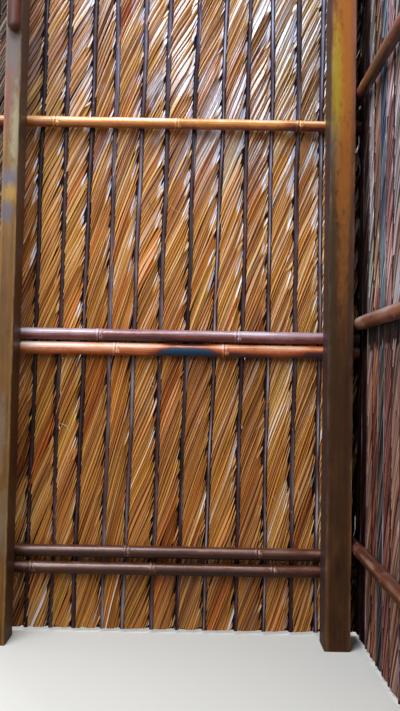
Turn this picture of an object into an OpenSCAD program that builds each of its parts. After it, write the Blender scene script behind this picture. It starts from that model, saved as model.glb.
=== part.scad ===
// Corner of a palm-leaf wall, as seen from inside the room of a stilt house.
// Two walls meet at a sawn corner post. Bamboo rails run along the outer faces
// of the posts, split palm fronds stand outside the rails with all their
// leaflets turned to one side, and split bamboo clamps them from outside.
// Each wall is drawn in a plan of its own: x runs to the right along the wall
// as seen from the room, y runs outwards and z runs up from the floor.
// The origin is at the foot of the corner post, on its centre line.

/* [Posts and plates] */
// Height of the posts above the floor
post_h = 2350; // [2200:10:2800]
// Depth of the back wall's posts, square to that wall
back_post_d = 105; // [80:1:140]
// Width of the left post, along the back wall
left_post_w = 49; // [40:1:90]
// Width of the corner post, which is also the depth of the side post
corner_post_w = 77; // [60:1:110]
// Width of the side post, along the side wall
side_post_w = 49; // [40:1:90]
// Chamfer along the edges of posts and plates
arris = 3; // [1:0.5:6]
// Width of the plates that lie on the posts
plate_w = 72; // [50:1:77]
// Height of the plates
plate_h = 60; // [40:2:90]

/* [Bays] */
// Clear width of the back wall's bay, between its two posts
back_bay = 937; // [800:1:1200]
// Clear width of the side wall's bay, between its two posts
side_bay = 930; // [800:1:1200]
// How far the back wall runs on past the left post
run_on = 110; // [60:1:160]

/* [Bamboo rails] */
// Diameter of the stoutest rails
big_rail_d = 40; // [36:1:50]
// Diameter of the middling rails
mid_rail_d = 38; // [32:1:40]
// Diameter of the slimmest rails
slim_rail_d = 34; // [28:1:36]
// Wall of a culm, seen at its open ends
culm_wall = 5; // [3:0.5:8]
// How far the ring at each joint of a culm stands proud
node_ring = 0.8; // [0.4:0.1:0.8]
// Width of the split bamboo that clamps the leaves from outside
clamp_d = 38; // [30:1:44]
// Height of the lowest rail of the back wall
low_rail_z = 202; // [150:1:230]
// Rise from the lowest rail to its neighbour
low_pair_rise = 51; // [45:1:60]
// Height of the lower middle rail
mid_rail_z = 880; // [800:1:960]
// Rise from the lower middle rail to its neighbour
mid_pair_rise = 43; // [42:1:60]
// Height of the high rail
high_rail_z = 1595; // [1500:1:1700]
// How far the top rails lie below the top of the posts
top_rail_drop = 70; // [65:1:120]
// How far the side wall's rails lie above the back wall's
side_rail_rise = 43; // [42:1:60]
// Height of the side wall's high rail
side_high_z = 1667; // [1650:1:1900]

/* [Palm fronds] */
// Even spacing of the ribs
frond_pitch = 80; // [70:1:100]
// Width of a rib
rib_w = 14; // [10:1:20]
// Depth of a rib, from its crown to the leaf
rib_d = 10; // [8:1:14]
// Thickness of the folded leaf
leaf_t = 3; // [2.6:0.1:4]
// Depth of the pleats across the leaf
pleat_h = 2.4; // [1.5:0.1:2.5]
// Slope of the leaflets above the horizontal, in degrees
leaflet_slope = 62; // [50:1:70]
// Rise from one tuft of leaflets to the next, along the rib
tuft_pitch = 105; // [80:1:140]
// Leaflets in a tuft
leaflets_per_tuft = 3; // [2:1:4]
// How far a leaf laps past the next rib
lap = 18; // [12:1:24]
// Depth of the notches between tufts at the leaf's free edge
tip_notch = 12; // [6:1:16]
// Gap between the foot of the leaves and the floor
floor_gap = 10; // [5:1:30]

/* [Pole on the left post] */
// Diameter of the round pole that stands against the left post
pole_d = 42; // [30:1:48]
// How far the pole stands to the right of the post's middle
pole_shift = 4; // [0:1:8]
// Height of its rounded lower end above the floor
pole_foot_z = 1825; // [1700:1:2000]

/* [Hidden] */
$fn = 64;
// Clearance where one piece bears on another
seat = 0.1;
// Clearance between a leaf and the one it laps
lap_gap = 0.5;
// Clearance between the two walls' leaves and rails in the corner
corner_gap = 3;
// How far each rib of the back wall stands off the even spacing, from the corner leftwards
back_stray = [0, 8, 11, 7, 7, 3, -5, -10, -12, -13, -11, -9, -6, -3, 0];
// The same for the side wall, from the corner towards the room
side_stray = [0, 3, 5, 1, -4, -7, -3, 2, 4, 6, 2, -3, -5, -2];
// Distance of the corner's first back rib from the corner post's centre line
first_back_rib = 30;
// Length of the joint ring's slope on its lower and upper side
ring_foot = 7;
ring_head = 5;
// Half the flat of a joint ring, and the thickness of the wall inside it
ring_flat = 1.5;

timber = "peru";
culm_colour = "chocolate";
frond_colour = "goldenrod";
clamp_colour = "saddlebrown";
pole_colour = "firebrick";

// Outer faces of the posts, where the rails bear
back_face = back_post_d / 2;
side_face = corner_post_w / 2;

leaf_env = leaf_t + pleat_h;
rib_sink = (leaf_t + pleat_h) / 2;
across = 90 - leaflet_slope;
leaflet_w = tuft_pitch * sin(across) / leaflets_per_tuft;
frond_top = post_h + plate_h - floor_gap;
frond_h = frond_top - floor_gap;

// Largest difference between two neighbouring strays of a wall
function stray_step(stray) = max([for (j = [1 : len(stray) - 1]) abs(stray[j] - stray[j - 1])]);
closest_ribs = frond_pitch - max(stray_step(back_stray), stray_step(side_stray));

// Layers of a wall, outwards from the face of its posts
function rail_y(face, d) = face + seat + node_ring + d / 2;
function rib_y(face) = face + 2 * (seat + node_ring) + big_rail_d;
function leaf_y(face) = rib_y(face) + rib_d - rib_sink;
lap_rise = (leaf_env + lap_gap) * (1 + lap / closest_ribs);
function clamp_y(face) = leaf_y(face) + lap_rise + leaf_env + 2 * seat;

// Ends of the two walls, in their own plans
back_left = -(corner_post_w / 2 + back_bay + left_post_w + run_on);
back_right = rib_y(side_face) - corner_gap;
side_left = -(rib_y(back_face) - corner_gap);
side_right = back_post_d / 2 + side_bay + side_post_w;
first_side_rib = clamp_y(back_face) + rib_w / 2 + seat;

back_count = floor((first_back_rib - back_left - rib_w) / frond_pitch) + 1;
side_count = floor((side_right + first_side_rib - 2 * rib_w) / frond_pitch);

function back_rib_x(j) = first_back_rib - j * frond_pitch + back_stray[j % len(back_stray)];
function side_rib_x(j) = j * frond_pitch - first_side_rib + side_stray[j % len(side_stray)];

function two_digits(n) = n < 10 ? str("0", n) : str(n);
back_frond_names = [for (k = [1 : back_count]) str("back_frond_", two_digits(k))];
side_frond_names = [for (k = [1 : side_count]) str("side_frond_", two_digits(k))];

// Turns the side wall's plan into the corner's plan
module in_side_wall() {
    rotate([0, 0, -90]) children();
}

// Sawn timber with its long edges eased, along z
module sawn(w, d, h) {
    x = w / 2;
    y = d / 2;
    linear_extrude(height = h)
        polygon([
            [-x + arris, -y], [x - arris, -y], [x, -y + arris], [x, y - arris],
            [x - arris, y], [-x + arris, y], [-x, y - arris], [-x, -y + arris]
        ]);
}

module left_post() {
    x = -(corner_post_w / 2 + back_bay + left_post_w / 2);
    color(timber) translate([x, 0, 0]) sawn(left_post_w, back_post_d, post_h);
}

module corner_post() {
    color(timber) sawn(corner_post_w, back_post_d, post_h);
}

module side_post() {
    x = back_post_d / 2 + side_bay + side_post_w / 2;
    color(timber) in_side_wall() translate([x, 0, 0]) sawn(side_post_w, corner_post_w, post_h);
}

// Plate lying along a wall's posts, flush with their outer face
module plate(face, from, to) {
    translate([from, face - plate_w / 2, post_h + plate_h / 2])
        rotate([0, 90, 0]) sawn(plate_h, plate_w, to - from);
}

// Half of the plates' crossing, cut from one plate so that the other seats in it
module half_lap(z) {
    size = [corner_post_w + 2 * arris, back_post_d + 2 * arris, plate_h / 2 + arris];
    translate([-size.x / 2, -size.y / 2, z]) cube(size);
}

module back_plate() {
    color(timber) difference() {
        plate(back_face, back_left, side_face);
        half_lap(post_h + plate_h / 2);
    }
}

module side_plate() {
    color(timber) difference() {
        in_side_wall() plate(side_face, -back_face, side_right);
        half_lap(post_h - arris);
    }
}

// Half outline of a culm: radius against length, swollen to a ring at each joint
function culm_outline(length, r, joints) = concat(
    [[0, 0], [r, 0]],
    [for (s = joints) each [
        [r, s - ring_foot],
        [r + node_ring, s - ring_flat],
        [r + node_ring, s + ring_flat],
        [r, s + ring_head]
    ]],
    [[r, length], [0, length]]
);

// Where a culm's joints lie along it
function joints_of(length, first, internode) =
    [for (s = first; s < length - ring_foot - ring_head; s = s + internode) s];

// Bamboo culm along x, open at both ends as far as its first joint
module culm(length, d, first, internode) {
    joints = joints_of(length, first, internode);
    last = joints[len(joints) - 1];
    r = d / 2;
    rotate([0, 90, 0]) difference() {
        rotate_extrude() polygon(culm_outline(length, r, joints));
        translate([0, 0, -1]) cylinder(r = r - culm_wall, h = 1 + first - ring_flat);
        translate([0, 0, last + ring_flat]) cylinder(r = r - culm_wall, h = length - last);
    }
}

// Half of a culm along x, its hollow side facing -y, with its inner walls left in
module split_culm(length, d, first, internode) {
    joints = joints_of(length, first, internode);
    r = d / 2;
    starts = concat([-1], [for (s = joints) s + ring_flat]);
    stops = concat([for (s = joints) s - ring_flat], [length + 1]);
    difference() {
        rotate([0, 90, 0]) difference() {
            rotate_extrude() polygon(culm_outline(length, r, joints));
            for (i = [0 : len(starts) - 1])
                translate([0, 0, starts[i]])
                    cylinder(r = r - culm_wall, h = stops[i] - starts[i]);
        }
        translate([-1, -2 * r, -2 * r]) cube([length + 2, 2 * r, 4 * r]);
    }
}

// Rail along a wall between two ends of its plan
module rail(face, from, to, z, d, first, internode) {
    translate([from, rail_y(face, d), z]) culm(to - from, d, first, internode);
}

module back_rail(z, d, first, internode) {
    color(culm_colour) rail(back_face, back_left, back_right, z, d, first, internode);
}

module side_rail(z, d, first, internode) {
    color(culm_colour) in_side_wall()
        rail(side_face, side_left, side_right, z, d, first, internode);
}

module back_low_rails() {
    back_rail(low_rail_z, mid_rail_d, 210, 372);
    back_rail(low_rail_z + low_pair_rise, mid_rail_d, 96, 405);
}

module back_mid_rails() {
    back_rail(mid_rail_z, big_rail_d, 113, 340);
    back_rail(mid_rail_z + mid_pair_rise, mid_rail_d, 400, 431);
}

module back_high_rail() {
    back_rail(high_rail_z, slim_rail_d, 247, 384);
}

module back_top_rail() {
    back_rail(post_h - top_rail_drop, mid_rail_d, 150, 395);
}

module side_low_rail() {
    side_rail(low_rail_z + low_pair_rise + side_rail_rise, mid_rail_d, 180, 330);
}

module side_mid_rail() {
    side_rail(mid_rail_z + mid_pair_rise + side_rail_rise, big_rail_d, 262, 360);
}

module side_high_rail() {
    side_rail(side_high_z, slim_rail_d, 205, 345);
}

module side_top_rail() {
    side_rail(post_h - top_rail_drop + side_rail_rise, mid_rail_d, 120, 350);
}

// Split bamboo across the outside of a wall's leaves, one behind each rail or pair
module clamps(face, from, to, heights) {
    for (i = [0 : len(heights) - 1])
        translate([from, clamp_y(face), heights[i]])
            split_culm(to - from, clamp_d, 130 + 45 * i, 360 - 15 * i);
}

module back_clamps() {
    heights = [
        low_rail_z + low_pair_rise / 2, mid_rail_z + mid_pair_rise / 2,
        high_rail_z, post_h - top_rail_drop
    ];
    color(clamp_colour) clamps(back_face, back_left, back_right, heights);
}

module side_clamps() {
    heights = [
        low_rail_z + low_pair_rise + side_rail_rise, mid_rail_z + mid_pair_rise + side_rail_rise,
        side_high_z, post_h - top_rail_drop + side_rail_rise
    ];
    color(clamp_colour) in_side_wall()
        clamps(side_face, -first_side_rib, side_right, heights);
}

// Edge of the pleats, against the distance across the leaflets.
// The first leaflet of each tuft stands proudest.
function ridge_y(i) = i % leaflets_per_tuft == 0 ? 0 : pleat_h * 0.25;
function pleat_edge(low, high) = [
    for (i = [low : high]) each [
        [i * leaflet_w, pleat_h],
        [(i + 0.38) * leaflet_w, ridge_y(i)]
    ]
];
function reversed(list) = [for (i = [len(list) - 1 : -1 : 0]) list[i]];

// Pleated sheet of leaflets, rising to the right at their slope
module pleated_sheet(w, h) {
    low = -ceil(h * sin(across) / leaflet_w) - 1;
    high = ceil(w * cos(across) / leaflet_w) + 1;
    front = pleat_edge(low - low % leaflets_per_tuft - leaflets_per_tuft, high);
    back = [for (p = reversed(front)) [p.x, p.y + leaf_t]];
    run = w * sin(across) + h * cos(across) + 2 * leaflet_w;
    rotate([0, across, 0]) translate([0, 0, -leaflet_w])
        linear_extrude(height = run) polygon(concat(front, back));
}

// Outline of a leaf: straight behind its rib, notched between tufts at its free edge
module leaf_outline(w, h) {
    tufts = floor((h - 2 * tip_notch) / tuft_pitch);
    notch_rise = tip_notch * tan(leaflet_slope);
    left = -rib_w * 0.35;
    polygon(concat(
        [[left, h], [left, 0], [w, 0]],
        [for (j = [1 : tufts]) each [
            [w, (j - 1) * tuft_pitch + tuft_pitch * 0.72],
            [w - tip_notch, j * tuft_pitch - notch_rise],
            [w, j * tuft_pitch]
        ]],
        [[w, h]]
    ));
}

// Frond: a half-round rib with its pleated leaf turned to the right of it
module frond(w, h) {
    crown = rib_sink - rib_d + rib_w / 2;
    linear_extrude(height = h) difference() {
        union() {
            translate([0, crown]) circle(d = rib_w);
            translate([-rib_w / 2, crown]) square([rib_w, rib_sink - crown]);
        }
        translate([-rib_w, rib_sink]) square([2 * rib_w, rib_w]);
    }
    intersection() {
        pleated_sheet(w, h);
        translate([0, leaf_env + 1, 0]) rotate([90, 0, 0])
            linear_extrude(height = leaf_env + 2) leaf_outline(w, h);
    }
}

// Frond in its place on a wall: it turns outwards to pass behind the next rib
module placed_frond(face, x, next_x, stop_x) {
    pitch = next_x - x;
    turn = atan((leaf_env + lap_gap) / pitch);
    w = (min(next_x + lap, stop_x) - x) / cos(turn);
    color(frond_colour) translate([x, leaf_y(face), floor_gap])
        rotate([0, 0, turn]) frond(w, frond_h);
}

module back_frond(k) {
    j = back_count - k;
    x = back_rib_x(j);
    placed_frond(back_face, x, j > 0 ? back_rib_x(j - 1) : x + frond_pitch, back_right);
}

module side_frond(k) {
    j = k - 1;
    x = side_rib_x(j);
    in_side_wall()
        placed_frond(side_face, x, j < side_count - 1 ? side_rib_x(j + 1) : x + frond_pitch, side_right);
}

// Round pole with a rounded lower end, held against the left post's room side
module post_pole() {
    x = -(corner_post_w / 2 + back_bay + left_post_w / 2) + pole_shift;
    r = pole_d / 2;
    color(pole_colour) translate([x, -back_post_d / 2 - seat - r, pole_foot_z]) {
        translate([0, 0, r]) cylinder(r = r, h = frond_top - pole_foot_z - r);
        intersection() {
            translate([0, 0, r]) sphere(r = r);
            translate([-r, -r, 0]) cube([2 * r, 2 * r, r]);
        }
    }
}

left_post();
corner_post();
side_post();
post_pole();
back_plate();
side_plate();
back_low_rails();
back_mid_rails();
back_high_rail();
back_top_rail();
side_low_rail();
side_mid_rail();
side_high_rail();
side_top_rail();
back_clamps();
side_clamps();
for (k = [1 : back_count])
    back_frond(k);
for (k = [1 : side_count])
    side_frond(k);
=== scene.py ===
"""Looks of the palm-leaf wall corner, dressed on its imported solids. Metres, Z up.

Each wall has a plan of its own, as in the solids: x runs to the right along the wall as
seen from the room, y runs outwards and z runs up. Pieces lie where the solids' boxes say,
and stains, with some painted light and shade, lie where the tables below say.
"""

import math

import bpy
import numpy as np
from mathutils import Matrix, Vector


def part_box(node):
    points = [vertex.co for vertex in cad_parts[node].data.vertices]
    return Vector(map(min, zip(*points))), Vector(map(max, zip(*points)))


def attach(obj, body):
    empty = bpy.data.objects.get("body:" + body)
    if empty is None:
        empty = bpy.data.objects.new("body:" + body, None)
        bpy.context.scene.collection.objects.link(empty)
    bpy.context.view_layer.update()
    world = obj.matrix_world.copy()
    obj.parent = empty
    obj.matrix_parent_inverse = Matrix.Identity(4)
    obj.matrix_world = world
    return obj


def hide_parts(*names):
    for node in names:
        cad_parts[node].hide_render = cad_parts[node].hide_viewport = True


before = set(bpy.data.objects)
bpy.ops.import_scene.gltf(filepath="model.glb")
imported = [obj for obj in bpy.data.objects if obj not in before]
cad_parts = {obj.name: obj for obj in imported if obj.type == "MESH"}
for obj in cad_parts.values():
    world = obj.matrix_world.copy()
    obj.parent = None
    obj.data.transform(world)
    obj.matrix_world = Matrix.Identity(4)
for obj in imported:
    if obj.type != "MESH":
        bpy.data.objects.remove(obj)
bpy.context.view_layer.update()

MM = 0.001
SEED = 1537
SHARP_ANGLE = math.radians(38)

# Each skin draws a mark from this range, which sets its noise apart from its neighbours'
MARKS = (0, 50)

# Camera: its place, tilt and lens, and the small shift that keeps the posts' lean
CAMERA_AT = Vector((-0.4195, -2.5125, 0.80))
CAMERA_PITCH = math.radians(2.6)
CAMERA_ROLL = math.radians(1.08)
CAMERA_LENS = 41.87
CAMERA_SHIFT = -0.024

# Lamps: place, target, size, watts and colour
LAMPS = {
    "window": ((-1.25, -1.4, 3.15), (-0.4, 0.1, 1.7), (0.9, 0.7), 31, (0.66, 0.83, 1)),
    "skylight": ((-0.5, -0.8, 3.3), (-0.5, 0, 1), (1.8, 0.4), 29, (1, 0.97, 0.93)),
    "doorway": ((-0.85, -2.1, 3), (-0.5, 0.1, 1.2), (0.4, 0.4), 12, (0.88, 0.94, 1)),
    "hall": ((-2.1, -2.2, 2.1), (-0.6, 0.1, 0.7), (2.2, 1.2), 42.5, (1, 0.96, 0.9)),
    "back_fill": ((-1.6, 2.8, 2.4), (-0.4, 0.1, 1.1), (2, 1.6), 60, (1, 1, 1)),
    "right_fill": ((3, -0.2, 2.4), (0.1, -0.4, 1.1), (2, 1.6), 50, (1, 1, 1)),
}

# The floor's half width, and the distances between which it fades into the backdrop
FLOOR_HALF = 12.0
FLOOR_FADE = (2.2, 5.5)


def smooth_step(x, start=0.0, over=1.0):
    """0 up to start, 1 from start + over on, and a smooth rise between."""
    x = np.clip((x - start) / over, 0.0, 1.0)
    return x * x * (3 - 2 * x)


class Wave:
    """Smooth seeded noise along one length: a sum of sines, about -1 to 1."""

    def __init__(self, rng, wavelength, octaves=3):
        length = wavelength * rng.uniform(0.8, 1.25, octaves)
        self.count = 2.0 * math.pi / (length / 1.9 ** np.arange(octaves))
        self.phase = rng.uniform(0, 2 * math.pi, octaves)
        self.share = 0.6 ** np.arange(octaves)
        self.share /= self.share.sum()

    def __call__(self, s):
        s = np.asarray(s, float)[..., None]
        return (np.sin(s * self.count + self.phase) * self.share).sum(-1) * 1.4


def inside_out(rings):
    """Whether the faces of a tube of these rings would face inwards."""
    at = rings - rings.reshape(-1, 3).mean(0)
    beside = np.roll(at, -1, axis=1)
    corners = np.cross(beside[:-1], beside[1:]) + np.cross(beside[1:], at[1:])
    return (at[:-1] * corners).sum() < 0


def threes(*values):
    """The points of a skin from their x, y and z, or their grain: across, along and the skin's mark."""
    return np.stack(np.broadcast_arrays(*values), -1)


class Shape:
    """Collects lofted skins and makes one mesh of them, with a grain and a tone at each point."""

    def __init__(self):
        self.points, self.grain, self.tone = [], [], []
        self.corners, self.sizes, self.slots = [], [], []
        self.count = 0

    def loft(self, rings, grain, tone, slot=0):
        """Adds a closed tube whose sections are rings[0], rings[1] and so on."""
        rings = np.asarray(rings, float)
        n_rings, n_points = rings.shape[:2]
        index = self.count + np.arange(n_rings * n_points).reshape(n_rings, n_points)
        self.points.append(rings.reshape(-1, 3))
        self.grain.append(np.asarray(grain, float).reshape(-1, 3))
        self.tone.append(np.broadcast_to(tone, (n_rings, n_points)).reshape(-1))
        self.count += n_rings * n_points
        after = np.roll(index, -1, axis=1)
        quads = np.stack([index[:-1], after[:-1], after[1:], index[1:]], -1).reshape(-1, 4)
        turned = inside_out(rings)
        for faces in (quads, index[:1, ::-1], index[-1:]):
            self.corners.append((faces[:, ::-1] if turned else faces).ravel())
            self.sizes.append(np.full(len(faces), faces.shape[1]))
            self.slots.append(np.full(len(faces), slot))

    def sway(self, line):
        """Moves every point along x by what line gives for it."""
        for points in self.points:
            points[:, 0] += line(points[:, 0], points[:, 2])

    def mesh(self, name, place):
        """The mesh, moved from its wall's plan by place."""
        matrix = np.array(place)
        points = np.concatenate(self.points) @ matrix[:3, :3].T + matrix[:3, 3]
        corners = np.concatenate(self.corners)
        sizes = np.concatenate(self.sizes)
        made = bpy.data.meshes.new(name)
        made.vertices.add(len(points))
        made.vertices.foreach_set("co", points.astype(np.float32).ravel())
        made.loops.add(len(corners))
        made.loops.foreach_set("vertex_index", corners.astype(np.int32))
        made.polygons.add(len(sizes))
        made.polygons.foreach_set("loop_start", (np.cumsum(sizes) - sizes).astype(np.int32))
        made.polygons.foreach_set("material_index", np.concatenate(self.slots).astype(np.int32))
        made.polygons.foreach_set("use_smooth", np.ones(len(sizes), bool))
        made.update(calc_edges=True)
        grain = made.attributes.new("grain", "FLOAT_VECTOR", "POINT")
        grain.data.foreach_set("vector", np.concatenate(self.grain).astype(np.float32).ravel())
        tone = made.attributes.new("tone", "FLOAT", "POINT")
        tone.data.foreach_set("value", np.concatenate(self.tone).astype(np.float32))
        made.set_sharp_from_angle(angle=SHARP_ANGLE)
        return made


def new_object(name, data):
    made = bpy.data.objects.new(name, data)
    bpy.context.scene.collection.objects.link(made)
    return made


def piece(shape, name, nodes, materials, place=Matrix.Identity(4)):
    """Makes shape an object of the part that stands for the named solids."""
    mesh = shape.mesh(name, place)
    for material in materials:
        mesh.materials.append(material)
    made = new_object(name, mesh)
    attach(made, "root")
    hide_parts(*nodes)


# The two walls' plans

BACK_PLAN = Matrix.Identity(4)
SIDE_PLAN = Matrix.Rotation(math.radians(-90), 4, "Z")


def plan_box(node, plan):
    """Lowest and highest corner of a solid in its wall's plan."""
    turned = plan.inverted()
    ends = np.array([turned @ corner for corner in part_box(node)])
    return ends.min(0), ends.max(0)


# Material helpers

def thousandths(colour):
    return tuple(part / 1000 for part in colour)


class Nodes:
    """Makes the shader nodes of one material or world."""

    def __init__(self, owner, **shader_values):
        owner.use_nodes = True
        self.tree = owner.node_tree
        self.shader = self.tree.nodes.get("Principled BSDF")
        for key, value in shader_values.items():
            self.shader.inputs[key.replace("_", " ")].default_value = value

    def node(self, kind, inputs=None, **settings):
        """A node of this kind, each input linked to a socket or set to a plain value."""
        made = self.tree.nodes.new("ShaderNode" + kind)
        for key, value in settings.items():
            setattr(made, key, value)
        for key, value in (inputs or {}).items():
            if isinstance(value, bpy.types.NodeSocket):
                self.tree.links.new(value, made.inputs[key])
            else:
                made.inputs[key].default_value = value
        return made

    def stretched(self, vector, scales):
        """vector times scales, axis by axis."""
        return self.node("VectorMath", {0: vector, 1: scales}, operation="MULTIPLY").outputs["Vector"]

    def noise(self, vector, scale=1.0, detail=2.0, roughness=0.5, distortion=0.0):
        inputs = {"Scale": scale, "Detail": detail, "Roughness": roughness, "Distortion": distortion}
        return self.node("TexNoise", {"Vector": vector, **inputs}).outputs["Fac"]

    def operate(self, operation, a, b=0.0):
        return self.node("Math", {0: a, 1: b}, operation=operation).outputs["Value"]

    def total(self, first, *others):
        for value in others:
            first = self.operate("ADD", first, value)
        return first

    def product(self, first, *others):
        for value in others:
            first = self.operate("MULTIPLY", first, value)
        return first

    def swing(self, value, amount):
        """value, about a half, as a swing of that amount about nought."""
        return self.product(self.operate("SUBTRACT", value, 0.5), amount)

    def between(self, value, low, high):
        """value from low to high as 0 to 1, held at both ends."""
        made = self.node("MapRange", {"Value": value, "From Min": low, "From Max": high}, clamp=True)
        return made.outputs["Result"]

    def ramp(self, factor, stops):
        """Colour by factor. A stop is its place in hundredths and its colour in thousandths."""
        made = self.node("ValToRGB", {"Fac": factor})
        bar = made.color_ramp
        while len(bar.elements) < len(stops):
            bar.elements.new(1.0)
        for element, (place, *colour) in zip(bar.elements, stops):
            element.position = place / 100
            element.color = (*thousandths(colour), 1.0)
        return made.outputs["Color"]

    def mixed(self, factor, a, b, blend_type="MIX"):
        """Colours a and b mixed by factor. A colour is a socket, or its red, green and blue."""
        a, b = [(*colour, 1.0) if isinstance(colour, tuple) else colour for colour in (a, b)]
        return self.node("Mix", {0: factor, 6: a, 7: b}, data_type="RGBA", blend_type=blend_type).outputs[2]

    def link(self, key, value):
        self.tree.links.new(value, self.shader.inputs[key])


class Finish(Nodes):
    """A material of the part, with what it knows of each point: grain, tone and place."""

    def __init__(self, name, coat, gloss, specular):
        self.material = bpy.data.materials.new(name)
        super().__init__(self.material, Coat_Weight=coat, Coat_Roughness=gloss, Specular_IOR_Level=specular)
        self.grain = self.node("Attribute", attribute_name="grain").outputs["Vector"]
        self.tone = self.node("Attribute", attribute_name="tone").outputs["Fac"]
        self.place = self.node("TexCoord").outputs["Object"]
        self.x, _, self.z = self.node("SeparateXYZ", {"Vector": self.place}).outputs

    def grained(self, scales, **settings):
        """Noise that follows the grain: its scales across, along and from mark to mark."""
        return self.noise(self.stretched(self.grain, scales), **settings)

    def made(self, colour, roughness, height, bump_depth):
        """The material, once it has its colour, its roughness and its bumps."""
        bump = self.node("Bump", {"Height": height, "Distance": bump_depth, "Strength": 1.0})
        self.link("Base Color", colour)
        self.link("Roughness", roughness)
        self.link("Normal", bump.outputs["Normal"])
        self.link("Coat Normal", bump.outputs["Normal"])
        return self.material


# Colours of dry leaf by tone, from the darkest on: each stop is the tone in hundredths, and red,
# green and blue in thousandths
LEAF_STOPS = (
    (0, 50, 14, 6), (28, 185, 57, 15), (52, 435, 164, 34), (76, 630, 304, 68), (87, 670, 430, 190),
    (100, 780, 700, 740),
)
DRY_LEAF_STOPS = (
    (0, 12, 6, 5), (25, 90, 42, 20), (50, 230, 125, 60), (75, 380, 250, 135), (100, 560, 440, 290),
)
# The frond outside the left post, darker all over: painted shade
SHADED_LEAF_STOPS = (
    (0, 6, 5, 6), (28, 22, 14, 13), (52, 58, 34, 24), (76, 120, 78, 52), (100, 340, 280, 220),
)
# The side wall's fronds: the grey, blue and mauve ones are painted reflections, the dark ones by the corner
# painted shade
SIDE_LEAF_STOPS = {
    "grey": (
        (0, 18, 13, 14), (28, 70, 52, 52), (52, 225, 188, 185), (76, 420, 375, 380), (100, 700, 660, 640),
    ),
    "brown": (
        (0, 13, 7, 6), (28, 52, 23, 15), (52, 170, 82, 52), (76, 310, 180, 125), (100, 640, 510, 400),
    ),
    "blue": (
        (0, 6, 7, 10), (28, 22, 27, 36), (52, 60, 78, 98), (76, 165, 192, 215), (100, 480, 480, 460),
    ),
    "mauve": (
        (0, 12, 6, 8), (28, 48, 22, 26), (52, 160, 78, 82), (76, 330, 190, 190), (100, 600, 480, 430),
    ),
    "dark": (
        (0, 4, 3, 3), (28, 14, 8, 7), (52, 40, 20, 17), (76, 90, 50, 40), (100, 300, 240, 200),
    ),
}
# Which of them each side frond has, from the corner on
SIDE_FINISH = "dark dark grey brown blue mauve grey brown grey mauve grey brown grey mauve".split()

RIB_STOPS = (
    (0, 8, 4, 6), (35, 40, 17, 22), (60, 92, 58, 64), (80, 215, 170, 200), (100, 370, 340, 400),
)

# Tints that some leaflets have: the share of them, its strength and its colour
LEAF_TINTS = (
    (0.1, 0.7, (0.9, 1.12, 0.64)),
    (0.17, 0.75, (0.96, 0.66, 0.6)),
    (0.12, 0.7, (1.14, 0.86, 0.66)),
    (0.07, 0.6, (0.92, 1, 1.5)),
)

# The painted sheen on the back wall: the heights between which it sets in, and the stretches of the
# wall over which it comes in from the left and mostly goes out, and over which the painted shade comes in
PAINTED_SHEEN_RISE = (1.25, 1.75)
PAINTED_SHEEN_IN = (-0.95, -0.6)
PAINTED_SHEEN_OUT = (-0.1, -0.4)
SHADE_IN = (-0.34, -0.12)

# Below the side wall's middle rail: where the leaves turn browner, and the rail's painted shadow above the
# tips
BROWN_BELOW = (1.05, 0.8)
PAINTED_SHADOW_FOOT = (0.876, 0.884)
PAINTED_SHADOW_HEAD = (0.975, 0.955)


def leaflet_chance(look, offset):
    """A chance from 0 to 1 for each leaflet."""
    mark = look.node("SeparateXYZ", {"Vector": look.grain}).outputs["Z"]
    made = look.node("TexWhiteNoise", {"W": look.total(mark, offset)}, noise_dimensions="1D")
    return made.outputs["Value"]


def leaf_colour(look, value, stops):
    """Colour by value, tinted on the leaflets that chance picks."""
    colour = look.ramp(value, stops)
    not_pale = look.between(value, 0.95, 0.80)
    for i, (share, strength, tint) in enumerate(LEAF_TINTS):
        picked = look.between(leaflet_chance(look, 17.3 * i), share + 0.04, share - 0.04)
        colour = look.mixed(look.product(picked, not_pale, strength), colour, tint, "MULTIPLY")
    return colour


def painted_sheen_and_shade(look, streaks, colour):
    """Greyer and bluer towards the top and shaded at its right, both painted light, with a whitish painted
    sheen in leaflets and lines.
    """
    high = look.between(look.z, *PAINTED_SHEEN_RISE)
    left_out = look.between(look.x, *PAINTED_SHEEN_IN)
    most = look.product(left_out, look.total(0.3, look.between(look.x, *PAINTED_SHEEN_OUT)))
    share = look.total(0.15, look.product(most, 0.55))
    clouds = look.total(look.noise(look.place, scale=6.0), look.swing(look.grained((95, 15, 5)), 0.55))
    lines = look.product(look.between(streaks, 0.46, 0.62), 0.4)
    whole = look.between(leaflet_chance(look, 91.0), 0.46, 0.34)
    # Greyer and bluer towards the top: a painted cool sheen
    colour = look.mixed(high, colour, (0.75, 0.81, 1.09), "MULTIPLY")
    # Darker at the top right: painted shade
    shaded = look.product(high, look.between(look.x, *SHADE_IN))
    colour = look.mixed(shaded, colour, (0.66, 0.70, 0.70), "MULTIPLY")
    # The whitish patches and lines: a painted sheen
    spread = look.between(clouds, 0.44, 0.58)
    amount = look.product(high, share, spread, look.operate("MAXIMUM", whole, lines), 0.80)
    return look.mixed(amount, colour, (0.49, 0.515, 0.610))


def browned_with_painted_light(look, colour):
    """Painted cool light all over; browner and darker below the side wall's middle rail, with a painted
    shadow above the lower tips.
    """
    # Lighter and bluer all over: painted cool light
    colour = look.mixed(1.0, colour, (1.16, 1.22, 1.26), "MULTIPLY")
    colour = look.mixed(look.between(look.z, *BROWN_BELOW), colour, (0.92, 0.56, 0.42), "MULTIPLY")
    # A dark band under the middle rail, ragged by leaflet at its foot: the rail's painted shadow
    tips = look.product(leaflet_chance(look, 55.0), -30 * MM)
    above_tips = look.between(look.total(look.z, tips), *PAINTED_SHADOW_FOOT)
    gap = look.product(above_tips, look.between(look.z, *PAINTED_SHADOW_HEAD), 0.92)
    return look.mixed(gap, colour, (0.010, 0.006, 0.006))


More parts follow.
